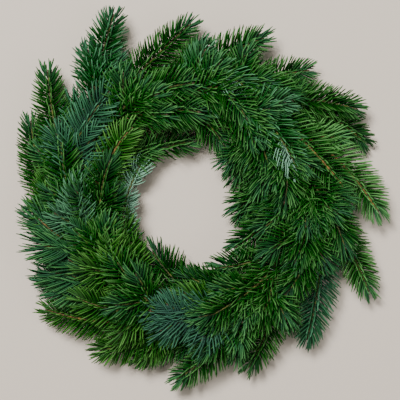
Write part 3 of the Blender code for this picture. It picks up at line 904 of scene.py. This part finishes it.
def spray_points(name, twigs, blades, stoutness, draw):
    """The spray's points: its twigs' routes with their thickness, a point for each blade and for each bud."""
    feet, edges, thickness, buds = [], [], [], []
    for twig in twigs:
        edges += [(len(feet) + number, len(feet) + number + 1) for number in range(len(twig.points) - 1)]
        feet += [*twig.points]
        taper = stoutness * (TWIG_THICK + (TWIG_THIN - TWIG_THICK) * twig.along / twig.along[-1])
        thickness += [thick * twig.thickness * (1 + draw.uniform(-TWIG_KNOBS, TWIG_KNOBS)) for thick in taper]
        end = twig.axes(twig.along[-1] - TWIG_STEP)
        ways = [(end[0], 1.0)]
        for turn in SIDE_BUDS:
            spread = draw.uniform(-SIDE_BUD_TURN, SIDE_BUD_TURN)
            ways.append((needle_way(end, turn + spread, SIDE_BUD_LEAN), SIDE_BUD_SIZE))
        for way, size in ways:
            buds.append((twig.points[-1] + BUD_FORWARD * way, way, end[2], size * twig.thickness))
    routes = len(feet)
    feet += blades.feet + [foot for foot, _, _, _ in buds]
    blank = [(0.0, 0.0, 0.0)] * routes
    blade_sizes = [(length, BLADE_WIDTH, BLADE_WIDTH) for length in blades.lengths]
    bud_sizes = [(BUD_LENGTH * size, BUD_WIDTH * size, BUD_WIDTH * size) for _, _, _, size in buds]
    unused = [0.0] * (len(feet) - routes)
    columns = {
        "part": ("INT", [TWIG_POINT] * routes + [BLADE_POINT] * len(blades.feet) + [BUD_POINT] * len(buds)),
        "thickness": ("FLOAT", thickness + unused),
        "tone": ("FLOAT", [0.0] * routes + blades.tones + [0.0] * len(buds)),
        "young": ("FLOAT", [0.0] * routes + blades.young + [0.0] * len(buds)),
        "shape": ("INT", [0] * routes + blades.shapes + [0] * len(buds)),
        "way": ("FLOAT_VECTOR", blank + blades.ways + [way for _, way, _, _ in buds]),
        "face": ("FLOAT_VECTOR", blank + blades.faces + [face for _, _, face, _ in buds]),
        "size": ("FLOAT_VECTOR", blank + blade_sizes + bud_sizes),
    }
    mesh = bpy.data.meshes.new(name)
    mesh.from_pydata(feet, edges, [])
    for column, (kind, values) in columns.items():
        layer = mesh.attributes.new(column, kind, "POINT")
        field = "vector" if kind == "FLOAT_VECTOR" else "value"
        layer.data.foreach_set(field, np.array(values).ravel())
    return bpy.data.objects.new(name, mesh)


# How far a needle bows up, and back from the twig's tip, in blade widths
BOWS = ((0.3, 0.5), (0.6, 0.8), (0.0, 1.1), (0.9, 0.6))


def fir_sprays():
    """Each spray on its solid's twig: side shoots, rows of needles and buds, in the colour of its slot."""
    shapes = bpy.data.collections.new("blade shapes")
    bpy.context.scene.collection.children.link(shapes)
    for hand, letter in ((-1, "a"), (1, "b")):
        for number, (rise, back) in enumerate(BOWS):
            shapes.objects.link(blade_shape(f"blade_{letter}{number}", rise, hand * back))
    bud = bud_shape()
    tree = spray_tree(shapes, bud)
    slots = {entry["node"]: entry["material_slot"] for entry in frame["record"]["subparts"]}
    for name in sorted(node for node in frame["nodes"] if "spray" in node):
        draw = random.Random(f"{SEED} {name}")
        sections, needles = solid_sections(name)
        twig = Twig(sections)
        forks = SIDE_SHOOTS[name.split("_")[0]] + EXTRA_SHOOTS.get(name, ())
        hand = ONE_SIDED.get(name, 0)
        shoots = side_shoots(twig, [fork for fork in forks if fork[1] * hand >= 0], draw)
        blades = Blades(name, draw)
        rows = SIDE_ROWS
        if name not in PARTED:
            rows += BUSHY_ROWS if name in BUSHY else LOW_ROWS
        if not name.startswith("top"):
            rows += HANGING_ROWS
        needled_from = min(twig.station(root) for root, _ in needles)
        needle_rows(blades, twig, rows, 0, needled_from)
        if name in PARTED:
            needle_rows(blades, twig, BUSHY_ROWS, 0, needled_from, PARTED_FROM)
            needle_rows(blades, twig, SHORT_ROWS, needled_from, needled_from)
        blades.underside_shows = UPPER_SIDE
        for shoot in shoots:
            needle_rows(blades, shoot, rows, SHOOT_BARE, 0)
        stoutness = STOUT if name in ORANGE_TWIGS else 1.0
        points = spray_points(f"{name}_grown", [twig, *shoots], blades, stoutness, draw)
        colour = slots[name].removeprefix("fir_")
        bark = ORANGE_BARK if name in ORANGE_TWIGS else OLIVE_BARK
        covers = {"Needle": NEEDLES[colour], "Bark": bark, "Bud": BUD}
        spray = made_mesh(points, tree, {"Twig Sides": TWIG_SIDES, **covers})
        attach(spray, "root")
        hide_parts(name)
    for obj in [*shapes.objects, bud]:
        bpy.data.objects.remove(obj)


def straw_ring():
    """The bound ring: stalks laid along it, drawn in by each turn of the wire."""
    bm = bmesh.new()
    pattern = bm.loops.layers.uv.new("stalks")
    draw = random.Random(SEED)
    round_section = math.tau * STRAW_RADIUS
    stalks = round(round_section / STALK_WIDTH)
    drift = [draw.uniform(0, math.tau) for _ in range(stalks)]
    grid = []
    for line in range(STRAW_LINES):
        row = []
        for side in range(STRAW_SIDES):
            seat = math.tau * side / STRAW_SIDES
            clock = math.tau * line / STRAW_LINES
            # How far this place is from the nearest turn, which climbs round the section
            turn = (line / STRAW_LINES * WIRE_TURNS - side / STRAW_SIDES) % 1
            drawn_in = WIRE_BITE * max(0, 1 - BITE_FADES * min(turn, 1 - turn))
            stalk = int(side / STRAW_SIDES * stalks)
            crest = abs(math.sin(math.pi * side / STRAW_SIDES * stalks))
            wander = STALK_WANDER * math.sin(STALK_WAVES * clock + drift[stalk])
            height = STALK_RELIEF * (crest - STALK_FLAT + wander)
            reach = STRAW_RADIUS - drawn_in + min(0, height)
            distance = RING_RADIUS + reach * math.cos(seat - math.pi / 2)
            low = RING_HEIGHT + reach * math.sin(seat - math.pi / 2)
            spot = (
                RING_MIDDLE[0] + distance * math.sin(clock),
                RING_MIDDLE[1] + distance * math.cos(clock),
                max(0.0, low),
            )
            row.append(bm.verts.new(spot))
        grid.append(row)
    for line in range(STRAW_LINES):
        for side in range(STRAW_SIDES):
            next_line, next_side = (line + 1) % STRAW_LINES, (side + 1) % STRAW_SIDES
            face = bm.faces.new(
                (grid[line][side], grid[line][next_side], grid[next_line][next_side], grid[next_line][side])
            )
            face.smooth = True
            for loop, (row, column) in zip(face.loops, ((0, 0), (0, 1), (1, 1), (1, 0))):
                around = (line + row) / STRAW_LINES * math.tau * RING_RADIUS / STALK_SEEN
                loop[pattern].uv = (around, (side + column) / STRAW_SIDES * stalks)
    bmesh.ops.recalc_face_normals(bm, faces=bm.faces)
    mesh = bpy.data.meshes.new("straw_ring_bound")
    bm.to_mesh(mesh)
    bm.free()
    mesh.materials.append(rye_straw())
    ring = bpy.data.objects.new("straw_ring_bound", mesh)
    bpy.context.scene.collection.objects.link(ring)
    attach(ring, "root")
    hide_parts("straw_ring")


def wire_tree():
    """Geometry Nodes: a round wire along a closed route."""
    tree = bpy.data.node_groups.new("round wire", "GeometryNodeTree")
    for name, kind in (
        ("Route", "NodeSocketGeometry"),
        ("Thickness", "NodeSocketFloat"),
        ("Sides", "NodeSocketInt"),
        ("Finish", "NodeSocketMaterial"),
    ):
        tree.interface.new_socket(name, in_out="INPUT", socket_type=kind)
    tree.interface.new_socket("Wire", in_out="OUTPUT", socket_type="NodeSocketGeometry")
    given = add_node(tree, "NodeGroupInput").outputs
    route = add_node(tree, "GeometryNodeMeshToCurve", Mesh=given["Route"]).outputs[0]
    half = add_node(tree, "ShaderNodeMath", {"operation": "DIVIDE"}, _0=given["Thickness"], _1=2.0)
    round_section = add_node(
        tree, "GeometryNodeCurvePrimitiveCircle", Resolution=given["Sides"], Radius=half.outputs[0]
    )
    wire = add_node(tree, "GeometryNodeCurveToMesh", Curve=route, Profile_Curve=round_section.outputs[0])
    whole = add_node(tree, "GeometryNodeRealizeInstances", Geometry=wire.outputs[0])
    finished = add_node(tree, "GeometryNodeSetMaterial", Geometry=whole.outputs[0], Material=given["Finish"])
    tree.links.new(finished.outputs[0], add_node(tree, "NodeGroupOutput").inputs[0])
    return tree


def binding_wire():
    """The wire, round and smooth, on its solid's route."""
    sections, _ = solid_sections("binding_wire")
    route = resampled(sections, WIRE_STEP, closed=True)
    route[:, 2] = np.maximum(route[:, 2], WIRE_THICKNESS / 2)
    mesh = bpy.data.meshes.new("binding_wire_round")
    count = len(route)
    mesh.from_pydata([*route], [(number, (number + 1) % count) for number in range(count)], [])
    obj = bpy.data.objects.new("binding_wire_round", mesh)
    values = {"Thickness": WIRE_THICKNESS, "Sides": WIRE_SIDES, "Finish": lacquered_wire()}
    wire = made_mesh(obj, wire_tree(), values)
    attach(wire, "root")
    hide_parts("binding_wire")


def studio():
    """Floor, soft light from the upper left, and a camera straight above, as in the photograph."""
    bm = bmesh.new()
    bmesh.ops.create_grid(bm, x_segments=1, y_segments=1, size=FLOOR_REACH)
    mesh = bpy.data.meshes.new("floor")
    bm.to_mesh(mesh)
    bm.free()
    mesh.materials.append(pale_board())
    floor = bpy.data.objects.new("floor", mesh)
    bpy.context.scene.collection.objects.link(floor)
    for name, place, size, power in LIGHTS:
        light = bpy.data.lights.new(name, "AREA")
        light.size = size
        light.energy = power
        lamp = bpy.data.objects.new(name, light)
        lamp.location = place
        lamp.rotation_euler = (-lamp.location).to_track_quat("-Z", "Y").to_euler()
        bpy.context.scene.collection.objects.link(lamp)
    world = bpy.data.worlds.new("soft_room")
    world.use_nodes = True
    world.node_tree.nodes["Background"].inputs["Color"].default_value = linear("#F4F2EF")
    world.node_tree.nodes["Background"].inputs["Strength"].default_value = ROOM_LIGHT
    bpy.context.scene.world = world
    camera = bpy.data.cameras.new("camera")
    camera.sensor_fit = "HORIZONTAL"
    half_width = PHOTO_SIZE / 2 * PIXEL
    camera.angle = 2 * math.atan(half_width / (CAMERA_HEIGHT - SEEN_HEIGHT))
    viewer = bpy.data.objects.new("camera", camera)
    across = (PHOTO_SIZE / 2 - PHOTO_CENTRE[0]) * PIXEL
    down = (PHOTO_CENTRE[1] - PHOTO_SIZE / 2) * PIXEL
    viewer.location = (across, down, CAMERA_HEIGHT)
    bpy.context.scene.collection.objects.link(viewer)
    bpy.context.scene.camera = viewer


straw_ring()
binding_wire()
fir_sprays()
studio()
